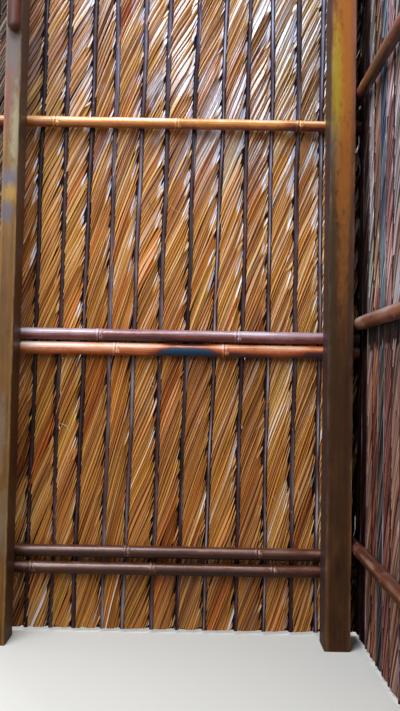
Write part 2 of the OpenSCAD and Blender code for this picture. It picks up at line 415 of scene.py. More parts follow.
def leaf_material(name, stops, roughness, coat, specular=0.5, overlay=None, contrast=1.0):
    """Dry palm leaf: fine streaks along each leaflet and a tone of its own."""
    look = Finish(name, coat, 0.19, specular)
    streaks = look.grained((620, 12, 7))
    bands = look.grained((215, 5, 3))
    clouds = look.noise(look.place, scale=3.1)
    value = look.total(
        look.tone, look.swing(streaks, 0.28 * contrast), look.swing(bands, 0.38 * contrast),
        look.swing(clouds, 0.24),
    )
    colour = leaf_colour(look, value, stops)
    # The back wall gets painted sheen and shade, the side wall painted cool light and a painted shadow
    if overlay == "painted_sheen_and_shade":
        colour = painted_sheen_and_shade(look, streaks, colour)
        look.link("Coat Weight", look.total(0.25, look.product(look.between(look.z, 1.10, 1.60), 0.75)))
    elif overlay == "browned_with_painted_light":
        colour = browned_with_painted_light(look, colour)
    rough = look.total(roughness, look.swing(bands, 0.25))
    return look.made(colour, rough, look.total(look.product(streaks, 0.35), bands), 0.8 * MM)


def rib_material():
    """Split leaf stalk: dark, smooth and faintly streaked along its length."""
    look = Finish("rib", 0.2, 0.16, 0.08)
    streaks = look.grained((700, 9, 5), detail=3.0)
    blotches = look.grained((60, 11, 5))
    value = look.total(look.tone, look.swing(streaks, 0.5), look.swing(blotches, 0.5))
    # Bluer towards the top: painted reflection
    high = look.between(look.z, 1.20, 1.80)
    colour = look.mixed(high, look.ramp(value, RIB_STOPS), (0.74, 0.92, 1.18), "MULTIPLY")
    rough = look.total(0.46, look.swing(blotches, 0.5))
    return look.made(colour, rough, look.total(streaks, blotches), 0.5 * MM)


# Fronds

# A frond's parts, in the wall's plan
RIB_WIDTH = 14 * MM
RIB_GROWTH = 0.30
RIB_PROUD = 7.3 * MM
SHINGLE_RISE = 5.9 * MM
LEAF_LAP = 18 * MM
TUFT_RISE = 105 * MM
BACK_LEAF_START = 9 * MM

# How steep each frond of the back wall carries its leaflets, against the wall's usual slope
BACK_STEEPS = (1, 1, 0.95, 0.93, 1.25, 1.33, 0.9, 0.97, 1.08, 1.12, 0.99, 1.04, 1.06, 1, 1)

# How far each rib of the back wall leans to the right, in degrees, about its middle height
BACK_LEANS = (0.3, 0.3, 0.4, 0.4, 0.8, 0.2, 1, 0.6, 1, 1.2, 0.5, 0.1, 0.1, 0, 0)
MIDDLE_Z = 1.2

# Rise of the leaflets for each metre to the right, by height
SLOPE_HEIGHTS = (0, 0.7, 1.2, 1.7, 2.4)
SLOPES = (2.7, 2.7, 2.24, 1.96, 1.8)

# How much steeper the leaflets leave their rib, and over what length, and how much steeper they
# end, and from which share of the way on
STEEP_START = 0.9
START_LENGTH = 8 * MM
STEEP_END = 0.3
END_SHARE = 0.62

# Sections of a folded leaflet, from its tucked upper edge down: share of its height, and
# how far it lies behind the leaf's plane in mm
SECTIONS = [
    [(-0.13, 3.2), (0.03, 0.8), (0.3, -2.2), (0.38, -2.2), (0.7, -0.2), (0.95, -1.6), (1, -1)],
    [(-0.13, 3.2), (0.06, 0.3), (0.34, -0.5), (0.6, -1.2), (0.84, -2.3), (0.97, -3), (1, -2.4)],
    [(-0.13, 3.2), (0.09, -0.6), (0.2, -1.8), (0.42, 0.3), (0.62, -1.5), (0.8, -2.7), (1, -1.3)],
    [(-0.13, 3.2), (0.08, -0.9), (0.3, -2.6), (0.52, -2.9), (0.76, -2), (0.93, -0.6), (1, 0.1)],
]
UNDERSIDE = [(0.98, 0.8), (0.5, 1.7), (-0.11, 3.8)]
TIP_SECTION = [
    (0, 0), (0.3, -1), (0.62, -0.5), (1, -1.3), (0.95, -0.3), (0.6, 0.4), (0.3, 0.1),
]

# The dry leaflets behind: the first five points face the room, and IN_SHADE darkens them, painted shade in
# the gaps
BACK_SECTION = [
    (-0.1, 3), (0.25, 2.4), (0.5, 2.7), (0.8, 2.2), (1, 2.6),
    (0.97, 4), (0.72, 5.6), (0.45, 4.4), (0.15, 5.2), (-0.1, 4.6),
]
IN_SHADE = np.array([-0.5] * 5 + [0.0] * 5)

# A leaflet's two edges: how wide their painted shade is, as a share of its height, and how dark
UPPER_EDGE_WIDTH, UPPER_EDGE_DARK = 0.095, 0.50
LOWER_EDGE_WIDTH, LOWER_EDGE_DARK = 0.055, 0.30

# A tuft: the gap below it, in mm, narrow in most of them, its twist in mm and its leaflets' count
NARROW_GAP = (3, 13)
WIDE_GAP = (13, 24)
NARROW_SHARE = 0.75
TWIST = (1, 3.2)
LEAFLET_COUNTS = (4, 4, 5, 5, 6)

# Short and long leaflets: where they end from the next rib, in mm, how far they taper, how far
# their ends curl up, in mm, and how much paler the ends are, partly their own colour, partly a painted
# glint
SHORT_SHARE = 0.52
SHORT_LEAFLET = ((-17, -7), (0.5, 0.88), (1.5, 5), (0, 0.62))
LONG_LEAFLET = ((2, 7), (0, 0.35), (0.5, 2.5), (-0.1, 0.1))

# On the way to the next rib: from which share, and over which, a leaflet gathers to its tuft,
# narrows, loses its twist and curls up
GATHER = (0.66, 0.34)
NARROWING = (0.62, 0.36)
UNTWIST = (0.85, 0.15)
CURL = (0.8, 0.2)

# From which height, and over which, the ends are paler, a painted glint, and the most of them are less pale
# again
PALER_ABOVE = (0.8, 0.35)
DULLER_ABOVE = (1.5, 0.2)

# The most leaflet tips in a tuft, by its place along the back wall, and where there are few
TIPS_ALONG = (-0.9, -0.2)
MOST_TIPS = (4, 8)
FEW_TIPS = 3
FEW_TIPS_BELOW = 1.0

# Middle tones of the leaflets in front and behind, and how far down, in tufts, those behind start
FROND_TONE = 0.60
DRY_TONE = 0.5
BACK_DROP = 0.3


def rib_sway(rng, lean):
    """How far a rib's line strays sideways at each height: its lean and a slight wave."""
    rise = math.tan(math.radians(lean))
    wave = Wave(rng, 0.9, 2)
    return lambda z: rise * (z - MIDDLE_Z) + 1.8 * MM * wave(z)


class Leaflets:
    """Lays the leaflets of one frond, from its rib to behind the next one."""

    def __init__(self, shape, pitch, low_z, high_z, steep, most_tips):
        self.shape, self.pitch, self.steep, self.most_tips = shape, pitch, steep, most_tips
        self.low_z, self.high_z = low_z, high_z
        self.across = np.linspace(-6 * MM, pitch + LEAF_LAP + 4 * MM, 160)
        after = np.clip(self.across, 0, None)
        end = smooth_step(self.across / pitch, END_SHARE, 1 - END_SHARE)
        rate = 1 + STEEP_START * np.exp(-after / START_LENGTH) + STEEP_END * end
        rise = np.cumsum(rate) * (self.across[1] - self.across[0])
        self.rise = rise - np.interp(0, self.across, rise)

    def slope(self, z):
        return float(np.interp(z, SLOPE_HEIGHTS, SLOPES)) * self.steep

    def run(self, base_z, slope, start, end, steps):
        """Distances along x of a leaflet's edges, cut square at the frond's foot and top."""
        low = np.interp((self.low_z - base_z) / slope, self.rise, self.across)
        high = np.interp((self.high_z - base_z) / slope, self.rise, self.across)
        low, high = np.clip(low, start, end), np.clip(high, start, end)
        return low + (high - low) * np.linspace(0, 1, steps)[:, None]

    def strip(self, top_z, height, section, ends, steps, lift, depth, tone, mark, slot=0):
        """One leaflet: section gives (share of its height, depth in mm) from its upper edge down."""
        share, behind = np.array(section).T
        slope = self.slope(top_z)
        base_z = top_z - share * height
        x = self.run(base_z, slope, *ends, steps)
        if np.ptp(x[:, 0]) < 4 * MM:
            return
        rise = np.interp(x, self.across, self.rise) * slope
        z = np.clip(base_z + rise + lift(x, share), self.low_z, self.high_z)
        y = depth(x, share) + behind * MM
        grain = threes(share * height * 0.45, x * math.hypot(1, slope), mark)
        self.shape.loft(threes(x, y, z), grain, tone(x) + painted_edge_shade(share), slot)


def painted_edge_shade(share):
    """Painted shade of a leaflet along its tucked upper edge and its lower edge."""
    upper = np.exp(-(np.clip(share, 0, 1) / UPPER_EDGE_WIDTH) ** 2)
    lower = np.exp(-((1 - share) / LOWER_EDGE_WIDTH) ** 2)
    return -UPPER_EDGE_DARK * upper - LOWER_EDGE_DARK * lower


class Tuft:
    """One tuft of leaflets on the room side, which fan together towards the next rib."""

    def __init__(self, leaves, rng, top, tone):
        self.leaves, self.rng, self.top, self.tone = leaves, rng, top, tone
        self.gap = rng.uniform(*(NARROW_GAP if rng.random() < NARROW_SHARE else WIDE_GAP)) * MM
        self.twist = rng.uniform(*TWIST) * MM
        self.turn = rng.normal(0, 0.06) * leaves.slope(top)
        self.mark = rng.uniform(*MARKS)
        weights = rng.uniform(0.55, 1.6, rng.choice(LEAFLET_COUNTS))
        self.edges = np.concatenate([[0], np.cumsum(weights / weights.sum())])

    def lay(self):
        for upper, lower in zip(self.edges[:-1], self.edges[1:]):
            Leaflet(self, upper, lower).lay()
        most = self.leaves.most_tips if self.top > FEW_TIPS_BELOW else FEW_TIPS
        for _ in range(self.rng.integers(max(1, most - 4), most + 1)):
            self.lay_tip()

    def lay_tip(self):
        """The pale end of a leaflet, turned aside over the gap beside the next rib; its paleness is partly
        its own colour, partly a painted glint that grows higher up.
        """
        rng, pitch = self.rng, self.leaves.pitch
        end = pitch - rng.uniform(3, 11) * MM
        start = end - rng.uniform(12, 27) * MM
        height = rng.uniform(7, 19) * MM
        aside = rng.uniform(-0.4, 0.8) * self.leaves.slope(self.top)
        proud = rng.uniform(2.0, 5.0) * MM
        paleness = rng.uniform(0.72, 1.0) + 0.25 * smooth_step(self.top, 1.0, 0.5)

        def along(x):
            return np.clip((x - start) / (end - start), 0, 1)

        def lift(x, share):
            gather = self.gap * smooth_step(x / pitch, *GATHER)
            pinch = 1 - np.interp(along(x), [0, 0.45, 0.85, 1], [0.1, 0.9, 1.0, 0.7])
            return gather + (share - 0.5) * height * pinch - aside * (x - start)

        def depth(x, share):
            return SHINGLE_RISE * x / pitch - 2.2 * MM - proud * along(x)

        def tone(x):
            return paleness - 0.35 * (1 - along(x))

        top = self.top - TUFT_RISE + rng.uniform(-8, 26) * MM
        self.leaves.strip(top, height, TIP_SECTION, (start, end), 5, lift, depth, tone, rng.uniform(*MARKS))


class Leaflet:
    """A leaflet between two shares of its tuft's height, and its way to the next rib."""

    def __init__(self, tuft, upper, lower):
        rng = tuft.rng
        self.tuft, self.upper, self.lower, self.pitch = tuft, upper, lower, tuft.leaves.pitch
        self.height = (lower - upper) * TUFT_RISE
        scale = rng.uniform(0.85, 1.3) * np.clip(self.height / (24 * MM), 0.6, 1.25)
        section = SECTIONS[rng.integers(len(SECTIONS))]
        self.section = [(share, behind * scale) for share, behind in section] + UNDERSIDE
        short = rng.random() < SHORT_SHARE
        ends, tapers, curls, pales = SHORT_LEAFLET if short else LONG_LEAFLET
        self.end = self.pitch + rng.uniform(*ends) * MM
        self.taper = rng.uniform(*tapers)
        self.shift = rng.uniform(-0.5, 0.5)
        self.wave = Wave(rng, 0.09, 2)
        self.curl = rng.uniform(*curls) * MM
        if not short:
            self.curl = rng.choice([0.0, self.curl])
        high_share = 0.35 + 0.65 * smooth_step(tuft.top, *PALER_ABOVE)
        self.paler = rng.uniform(*pales) * (high_share if short else 1)
        self.own_tone = tuft.tone + rng.normal(0, 0.095)
        self.pale_from = 0.72
        # Some lower leaflets of a tuft get a painted glint at their ends by the next rib
        if upper > 0.45 and rng.random() < tuft.leaves.most_tips * 0.12:
            duller = 1 - 0.65 * smooth_step(tuft.top, *DULLER_ABOVE)
            self.paler = rng.uniform(0.5, 1.0) * high_share * duller
            self.pale_from = 0.60
        self.mark = tuft.mark if rng.random() < 0.6 else rng.uniform(*MARKS)

    def lay(self):
        top_z = self.tuft.top - self.upper * TUFT_RISE
        self.tuft.leaves.strip(
            top_z, self.height, self.section, (-3 * MM, self.end), 8,
            self.lift, self.depth, self.tone, self.mark,
        )

    def in_tuft(self, share):
        return self.upper + (self.lower - self.upper) * share

    def lift(self, x, share):
        """How far the leaflet strays upwards from its plain course."""
        t = x / self.pitch
        gather = self.in_tuft(share) * self.tuft.gap * smooth_step(t, *GATHER)
        narrow = (share - 0.45) * self.height * self.taper * smooth_step(t, *NARROWING)
        crest = -self.shift * self.height * np.sin(math.pi * np.clip(share, 0, 1)) * (t - 0.5) * 0.5
        return gather + narrow + crest + self.tuft.turn * (x - self.pitch / 2) + 1.1 * MM * self.wave(x)

    def depth(self, x, share):
        """How far back the leaflet lies."""
        t = x / self.pitch
        fall = -2.6 * MM * (1 - t) + SHINGLE_RISE * t
        bulge = -2.2 * MM * np.sin(np.clip(t, 0, 1) * math.pi)
        right = -self.tuft.twist * self.in_tuft(share) * smooth_step(t) * (1 - smooth_step(t, *UNTWIST))
        return fall + bulge + right - self.curl * smooth_step(t, *CURL)

    def tone(self, x):
        t = x / self.pitch
        # A little lighter next to its own rib, and paler towards the end: partly the end's own colour,
        # partly a painted glint
        light = 0.07 * (1 - smooth_step(t, over=0.35)) + self.paler * smooth_step(t, self.pale_from, 0.2)
        return self.own_tone + light


def lay_back(leaves, rng, tuft_top, tone):
    """The leaflets behind, which close the wall and lap outside the next frond."""
    pitch = leaves.pitch
    edges = np.linspace(0, 1, 4) + np.array([0, *rng.uniform(-0.08, 0.08, 2), 0])
    for upper, lower in zip(edges[:-1], edges[1:]):
        end = pitch + LEAF_LAP - rng.uniform(0, 14) * MM
        sway = Wave(rng, 0.12, 2)
        # The room side darker: painted shade
        own_tone = tone + rng.normal(0, 0.09) + IN_SHADE
        leaves.strip(
            tuft_top - upper * TUFT_RISE, (lower - upper) * TUFT_RISE, BACK_SECTION,
            (BACK_LEAF_START, end), 4, lambda x, share: 1.5 * MM * sway(x),
            lambda x, share: SHINGLE_RISE * x / pitch, lambda x: own_tone, rng.uniform(*MARKS), slot=2,
        )


def lay_rib(shape, rng, low_z, high_z):
    """The rib, half round, stouter towards its top and a little uneven in width."""
    z = np.linspace(low_z, high_z, 56)[:, None]
    share = (z - low_z) / (high_z - low_z)
    stout = rng.uniform(0.94, 1.10)
    width = RIB_WIDTH / 2 * stout * (1.0 + RIB_GROWTH * share + 0.07 * Wave(rng, 0.5)(z))
    turn = np.linspace(0, math.pi, 13)
    y = 1.0 * MM - np.sin(turn) ** 0.85 * (RIB_PROUD + 0.8 * MM)
    rings = threes(-np.cos(turn) * width, y, z)
    grain = threes(turn * RIB_WIDTH / 2, z, rng.uniform(*MARKS))
    # Darker towards the top, with a painted highlight along the crest and painted shade down both flanks
    tone = 0.44 - 0.10 * share + 0.13 * rng.normal() + 0.12 * Wave(rng, 0.7)(z)
    crest = np.exp(-((turn - rng.uniform(1.2, 2.1)) / 0.34) ** 2)
    light = rng.uniform(0.08, 0.50) * (1 + 0.6 * Wave(rng, 0.35)(z))
    shape.loft(rings, grain, tone + light * crest - 0.40 * np.cos(turn) ** 4, slot=1)


def lay_fibre(shape, rng, x, z):
    """A stray fibre that lies over the leaflets: pale or dark, thin and slightly bent."""
    t = np.linspace(0, 1, 6)
    length = rng.uniform(22, 60) * MM
    angle = rng.uniform(0.5, 2.2)
    bend = rng.uniform(-9, 9) * MM * np.sin(math.pi * t)
    along_x = x + length * (t - 0.5) * math.cos(angle) + bend * math.sin(angle)
    along_z = z - length * (t - 0.5) * math.sin(angle) + bend * math.cos(angle)
    half = rng.uniform(0.5, 1.0) * MM * (1.05 - t) ** 0.4
    side = np.array([[-1], [0], [1]]) * half
    out = np.array([[0.5], [-1], [0.5]]) * half
    rings = threes(along_x + side * math.sin(angle), out - 3.6 * MM, along_z + side * math.cos(angle))
    tone = rng.choice([1.2, 0.95, 0.8, -0.2])
    shape.loft(rings.swapaxes(0, 1), np.full((6, 3, 3), rng.uniform(*MARKS)), tone)


def frond_piece(name, plan, ribs, sways, materials, index, steep):
    """One frond: its rib, the leaflets on the room side and those behind."""
    low, high = plan_box(name, plan)
    rng = np.random.default_rng(SEED + index)
    shape = Shape()
    lay_rib(shape, rng, low[2], high[2])
    pitch = ribs[1] - ribs[0]
    most_tips = FEW_TIPS if plan is SIDE_PLAN else round(np.interp(ribs[0], TIPS_ALONG, MOST_TIPS))
    leaves = Leaflets(shape, pitch, low[2], high[2], steep, most_tips)
    frond_tone = FROND_TONE + rng.normal(0, 0.06)
    top = high[2] + TUFT_RISE * rng.uniform(0, 1)
    while top > low[2] - 0.35:
        Tuft(leaves, rng, top, frond_tone + rng.normal(0, 0.05)).lay()
        lay_back(leaves, rng, top - BACK_DROP * TUFT_RISE, DRY_TONE + rng.normal(0, 0.05))
        top -= TUFT_RISE * rng.uniform(0.93, 1.07)
    for _ in range(rng.integers(1, 5)):
        lay_fibre(shape, rng, pitch * rng.uniform(0.35, 0.75), rng.uniform(low[2] + 0.1, high[2] - 0.1))
    own, beyond = sways
    shape.sway(lambda x, z: own(z) + (beyond(z) - own(z)) * np.clip(x / pitch, 0, 1.2))
    place = plan @ Matrix.Translation((ribs[0], low[1] + RIB_PROUD, 0))
    piece(shape, name + "_leaves", [name], materials, place)


def wall_of_fronds(prefix, plan, materials, first_index, leans=None, steeps=None):
    """Every frond of one wall, each one reaching to the next one's rib."""
    names = sorted(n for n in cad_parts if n.startswith(prefix))
    ribs = [plan_box(n, plan)[0][0] + RIB_WIDTH / 2 for n in names]
    pitch = (ribs[-1] - ribs[0]) / (len(ribs) - 1)
    ribs.append(min(ribs[-1] + pitch, plan_box(names[-1], plan)[1][0] - LEAF_LAP * 0.2))
    rng = np.random.default_rng(SEED + first_index + 50)
    sways = [rib_sway(rng, lean) for lean in leans or rng.normal(0, 0.3, len(names))]
    sways.append(lambda z: 0.0 * z)
    steeps = steeps or [1.0] * len(names)
    for i, name in enumerate(names):
        frond_piece(name, plan, ribs[i:i + 2], sways[i:i + 2], materials[i], first_index + i, steeps[i])


# Bamboo culms

# For each solid, its culms from the lowest up: diameter, first joint and internode in mm,
# and the finish of each
RAILS = {
    "back_low_rails": ((38, 210, 372, "red"), (38, 96, 405, "red")),
    "back_mid_rails": ((40, 113, 340, "pink"), (38, 400, 431, "maroon")),
    "back_high_rail": ((34, 247, 384, "orange"),),
    "back_top_rail": ((38, 150, 395, "orange"),),
    "side_low_rail": ((38, 180, 330, "red"),),
    "side_mid_rail": ((40, 262, 360, "brown"),),
    "side_high_rail": ((34, 205, 345, "brown"),),
    "side_top_rail": ((38, 120, 350, "orange"),),
}
JOINT_RING = 0.8 * MM
CULM_WALL = 5 * MM
CULM_TONE = 0.5

# Stains and paler stretches of a wall's culms: place along the wall, half width, change of tone
STAINS = {
    ("back_mid_rails", 0): ((-0.455, 0.085, -0.66), (-0.28, 0.06, -0.14), (-0.05, 0.06, -0.2)),
    ("back_high_rail", 0): (
        (-0.34, 0.16, 0.05), (-0.07, 0.09, -0.22), (0.075, 0.05, -0.28), (-1.1, 0.06, -0.2),
    ),
    ("side_mid_rail", 0): ((0.12, 0.045, 0.34), (0.42, 0.05, 0.2)),
    ("side_high_rail", 0): ((0.2, 0.3, -0.12),),
}

# The split culms: their width, their middle heights, and in mm the first joint and internode of
# the lowest one, each followed by how much it changes from one to the next above
CLAMP_WIDTH = 38 * MM
CLAMP_HEIGHTS = {
    "back_clamps": (0.2275, 0.9015, 1.595, 2.28),
    "side_clamps": (0.296, 0.966, 1.667, 2.323),
}
CLAMP_FIRST = (130, 45)
CLAMP_INTERNODE = (360, -15)

# How much paler a culm is above than below, painted light and shade, and its painted highlight along the
# upper room side: the amount, and where round the culm and how wide, in radians
PAINTED_LIGHT_ABOVE_SHADE_BELOW = 0.23
PAINTED_HIGHLIGHT = 0.25
PAINTED_HIGHLIGHT_TURN = 2.58
PAINTED_HIGHLIGHT_WIDTH = 0.30

# Along a joint: distance, swelling and tone, with the dry scar of the sheath below the ridge
JOINT = (
    (-16, 0, 0), (-11, 0.12, -0.02), (-9.2, 0.34, -0.04), (-8, 0.7, 0.1),
    (-5, 0.8, 0.15), (-2.2, 0.78, 0.12), (-1.2, 0.12, -0.3), (0.6, 0.22, -0.14),
    (2.8, 0.6, 0.05), (5, 0.8, 0.08), (7.4, 0.62, 0.02), (10, 0.3, -0.03),
    (13, 0.1, 0), (16, 0, 0),
)
JOINT_REACH = 18 * MM

# The bud above a joint: where round the culm it may face, its size along and round, and height
BUD_FACING = (-3.2, -2.3)
BUD_LENGTH = 6 * MM
BUD_TURN = 0.30
BUD_HEIGHT = 1.5 * MM


class Culm:
    """A bamboo culm along x, as long as its solid, with its axis at a y and z of its wall's plan."""

    def __init__(self, rng, low, high, axis, radius, first, internode):
        self.rng, self.radius = rng, radius
        self.start = np.array([low[0], *axis])
        self.length = high[0] - low[0]
        self.joints = np.arange(first * MM, self.length - 12 * MM, internode * MM)
        self.inner = (radius - CULM_WALL) / radius

    def line(self):
        """Distances along the culm with the swelling and tone at each."""
        plain = np.linspace(0, self.length, max(int(self.length / 0.035), 2))
        rows = [(s, 0.0, 0.0) for s in plain if np.min(np.abs(self.joints - s)) > JOINT_REACH]
        for joint in self.joints:
            rows += [(joint + d * MM, swell * MM, tone) for d, swell, tone in JOINT]
        s, swelling, tone = np.array(sorted(rows)).T
        own_tone = self.rng.normal(0, 0.05, len(self.joints) + 1)
        tone = tone + own_tone[np.searchsorted(self.joints, s)]
        return s, swelling + 0.22 * MM * Wave(self.rng, 0.3)(s), tone

    def bud(self, s, turn, joint):
        """The small bud above one joint, on the room side: its swelling and its tone."""
        facing = self.rng.uniform(*BUD_FACING)
        along = (s[:, None] - joint - BUD_LENGTH) / BUD_LENGTH
        around = np.angle(np.exp(1j * (turn - facing))) / BUD_TURN
        away = along ** 2 + around ** 2
        tone = 0.50 * np.exp(-((away - 0.7) / 0.5) ** 2) - 0.45 * np.exp(-away * 6)
        return BUD_HEIGHT * np.exp(-away), tone

    def surface(self, turn):
        """Places, grain and tone of the culm's outer face."""
        s, swelling, tone = self.line()
        reach = self.radius + swelling[:, None] + np.zeros(len(turn))
        # A painted highlight on the upper room side, and paler above than below: painted light and shade
        worn = PAINTED_HIGHLIGHT * np.exp(-((turn - PAINTED_HIGHLIGHT_TURN) / PAINTED_HIGHLIGHT_WIDTH) ** 2)
        highlight_swing = 1 + 0.6 * Wave(self.rng, 0.5)(s)
        tones = tone[:, None] + PAINTED_LIGHT_ABOVE_SHADE_BELOW * np.sin(turn) + highlight_swing[:, None] * worn
        for joint in self.joints:
            swelling, tone = self.bud(s, turn, joint)
            reach = reach + swelling
            tones = tones + tone
        bend = 0.5 * MM * np.sin(s * math.pi / self.length)[:, None] * self.rng.choice([-1, 1])
        places = threes(s[:, None], np.cos(turn) * reach, np.sin(turn) * reach + bend)
        return places, threes(turn * self.radius, s[:, None], self.rng.uniform(*MARKS)), tones

    def hollow_end(self, ring, at):
        """Rings of an open end of the culm: the bore, from the joint at, and its mouth."""
        centre = ring.mean(0)
        mouth = centre + (ring - centre) * self.inner
        deep = mouth.copy()
        deep[:, 0] = at
        return [deep, mouth]

    def add_whole(self, shape, slot, spots):
        """The culm, open at both ends to its first and last joint."""
        places, grain, tones = self.surface(np.linspace(0, 2 * math.pi, 25)[:-1])
        for centre, half_width, change in spots:
            tones = tones + change * np.exp(-((places[..., 0] - centre) / half_width) ** 4)
        left = self.hollow_end(places[0], self.joints[0])
        right = self.hollow_end(places[-1], self.joints[-1])[::-1]
        rings = np.concatenate([left, places, right])
        grain = np.concatenate([[grain[0]] * 2, grain, [grain[-1]] * 2])
        # Darker into the bore: painted shade
        mouth_tones = np.array([[-0.4], [-0.2]])
        tones = np.concatenate([tones[0] + mouth_tones, tones, tones[-1] + mouth_tones[::-1]])
        shape.loft(rings + self.start, grain, tones + CULM_TONE, slot)

    def add_half(self, shape):
        """Half of the culm, its hollow side towards the leaves, with its joints' walls."""
        turn = np.linspace(-math.pi / 2, math.pi / 2, 15)
        places, grain, tones = self.surface(turn)
        inner = places[:, ::-1].copy()
        inner[..., 1:] *= self.inner
        rings = np.concatenate([places, inner], 1)
        grain = np.concatenate([grain, grain[:, ::-1]], 1)
        tones = np.concatenate([tones, tones[:, ::-1] + 0.2], 1)
        shape.loft(rings + self.start, grain, tones + CULM_TONE)
        reach = self.radius - CULM_WALL / 2
        disc = threes(0, np.cos(turn) * reach, np.sin(turn) * reach)
        for joint in self.joints:
            rings = np.stack([disc + [d * MM, 0, 0] for d in (-1.2, 1.2)])
            place = self.start + [joint, 0, 0]
            shape.loft(rings + place, np.full(rings.shape, self.rng.uniform(*MARKS)), CULM_TONE + 0.1)


def rail_piece(name, plan, finishes, index):
    """The culms of one solid, each with its joints where the solid has them."""
    low, high = plan_box(name, plan)
    rng = np.random.default_rng(SEED + index)
    shape = Shape()
    used = sorted({row[-1] for row in RAILS[name]})
    for i, (diameter, first, internode, finish) in enumerate(RAILS[name]):
        radius = diameter * MM / 2
        z = low[2] + JOINT_RING + radius if i == 0 else high[2] - JOINT_RING - radius
        culm = Culm(rng, low, high, (low[1] + JOINT_RING + radius, z), radius, first, internode)
        spots = [(x - low[0], width, change) for x, width, change in STAINS.get((name, i), ())]
        culm.add_whole(shape, used.index(finish), spots)
    piece(shape, name + "_culms", [name], [finishes[f] for f in used], plan)


def clamp_piece(name, plan, material, index):
    """The four split culms that press a wall's leaves in from outside."""
    low, high = plan_box(name, plan)
    rng = np.random.default_rng(SEED + index)
    shape = Shape()
    radius = CLAMP_WIDTH / 2
    for i, z in enumerate(CLAMP_HEIGHTS[name]):
        first, internode = [lowest + i * change for lowest, change in (CLAMP_FIRST, CLAMP_INTERNODE)]
        culm = Culm(rng, low, high, (high[1] - radius - JOINT_RING, z), radius, first, internode)
        culm.add_half(shape)
    piece(shape, name + "_culms", [name], [material], plan)


CULM_STOPS = {
    "orange": (
        (0, 20, 8, 10), (22, 120, 22, 12), (46, 415, 135, 27), (68, 650, 305, 72), (84, 740, 490, 290),
        (100, 720, 650, 640),
    ),
    "maroon": (
        (0, 8, 4, 8), (25, 36, 10, 13), (50, 190, 48, 42), (72, 370, 205, 235), (100, 620, 550, 620),
    ),
    "pink": (
        (0, 1, 34, 85), (20, 75, 20, 22), (34, 340, 64, 14), (46, 490, 132, 45), (68, 750, 350, 195),
        (100, 760, 630, 580),
    ),
    "red": (
        (0, 5, 2, 2), (25, 18, 5, 3), (50, 50, 10, 6), (75, 130, 38, 20), (100, 280, 180, 140),
    ),
    "brown": (
        (0, 14, 7, 6), (25, 55, 22, 16), (50, 240, 84, 52), (75, 380, 175, 120), (100, 520, 420, 380),
    ),
    "weathered": (
        (0, 30, 18, 12), (30, 120, 60, 30), (55, 270, 150, 75), (78, 460, 310, 180), (100, 660, 560, 420),
    ),
}


def culm_material(name, stops, gloss):
    """Bamboo under old varnish: long streaks, a scorched or worn tone and dry cracks."""
    look = Finish(name, 0.7, gloss, 0.15)
    streaks = look.grained((420, 5, 3), detail=3.0)
    blotches = look.grained((40, 14, 5), detail=3.0, roughness=0.6)
    fine = look.grained((90, 70, 9))
    value = look.total(
        look.tone, look.swing(streaks, 0.35), look.swing(blotches, 0.42), look.swing(fine, 0.12)
    )
    crack = look.between(look.grained((230, 1.6, 11), detail=1.0), 0.75, 0.79)
    colour = look.mixed(crack, look.ramp(value, stops), (0.02, 0.010, 0.008))
    rough = look.total(0.34, look.swing(blotches, 0.35))
    height = look.total(look.product(streaks, 0.5), look.product(crack, -1.2))
    return look.made(colour, rough, height, 0.3 * MM)


# Sawn timber and the pole

ARRIS = 3 * MM

# How far before the corner post a plate's end is halved, and how far back the halved box starts
LAP_SHOULDER = 3 * MM
LAP_OVER = 1 * MM


def eased_section(width, depth):
    """Outline of a sawn section with rounded edges, and 1 for each point on an edge."""
    arcs = []
    for i, corner in enumerate(((1, -1), (1, 1), (-1, 1), (-1, -1))):
        turn = np.linspace(i - 1, i, 4) * math.pi / 2
        round_edge = ARRIS * np.stack([np.cos(turn), np.sin(turn)], -1)
        arcs.append(np.multiply(corner, (width / 2 - ARRIS, depth / 2 - ARRIS)) + round_edge)
    sides = [np.linspace(arc[-1], after[0], 7)[1:-1] for arc, after in zip(arcs, arcs[1:] + arcs[:1])]
    outline = [part for arc_and_side in zip(arcs, sides) for part in arc_and_side]
    return np.concatenate(outline), np.tile([1.0] * 4 + [0.0] * 5, 4)


def add_timber(shape, rng, low, high, axis):
    """A sawn piece between two corners, its length along axis, with worn and dented edges."""
    others = [i for i in range(3) if i != axis]
    size = np.array(high) - np.array(low)
    middle = (np.array(high) + np.array(low)) / 2
    section, edge = eased_section(*size[others])
    along = np.linspace(low[axis], high[axis], max(int(size[axis] / 0.02), 2) + 1)
    around = np.concatenate([[0], np.cumsum(np.hypot(*np.diff(section, axis=0).T))])
    inward = -section / np.linalg.norm(section, axis=1, keepdims=True)
    rings = np.zeros((len(along), len(section), 3))
    for j in range(len(section)):
        wave = Wave(rng, 0.25, 4)(along) * 0.5 + 0.5
        chips = np.clip(Wave(rng, 0.07, 3)(along) - 0.75, 0, None) * 5.0 * edge[j]
        push = (0.35 + 0.9 * edge[j]) * MM * np.clip(wave + chips, 0, 2.5)
        for k, other in enumerate(others):
            rings[:, j, other] = middle[other] + section[j, k] + inward[j, k] * push
        rings[:, j, axis] = along
    if axis == 1:
        rings = rings[:, ::-1]
    grain = threes(around, along[:, None], rng.uniform(*MARKS))
    shape.loft(rings, grain, 0.5 + 0.25 * edge)


def timber_piece(name, axis, material, index, parts=None):
    """A sawn solid as one piece, or as several boxes of it given by parts."""
    rng = np.random.default_rng(SEED + index)
    shape = Shape()
    for part_low, part_high in parts or [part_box(name)]:
        add_timber(shape, rng, part_low, part_high, axis)
    piece(shape, name + "_timber", [name], [material])


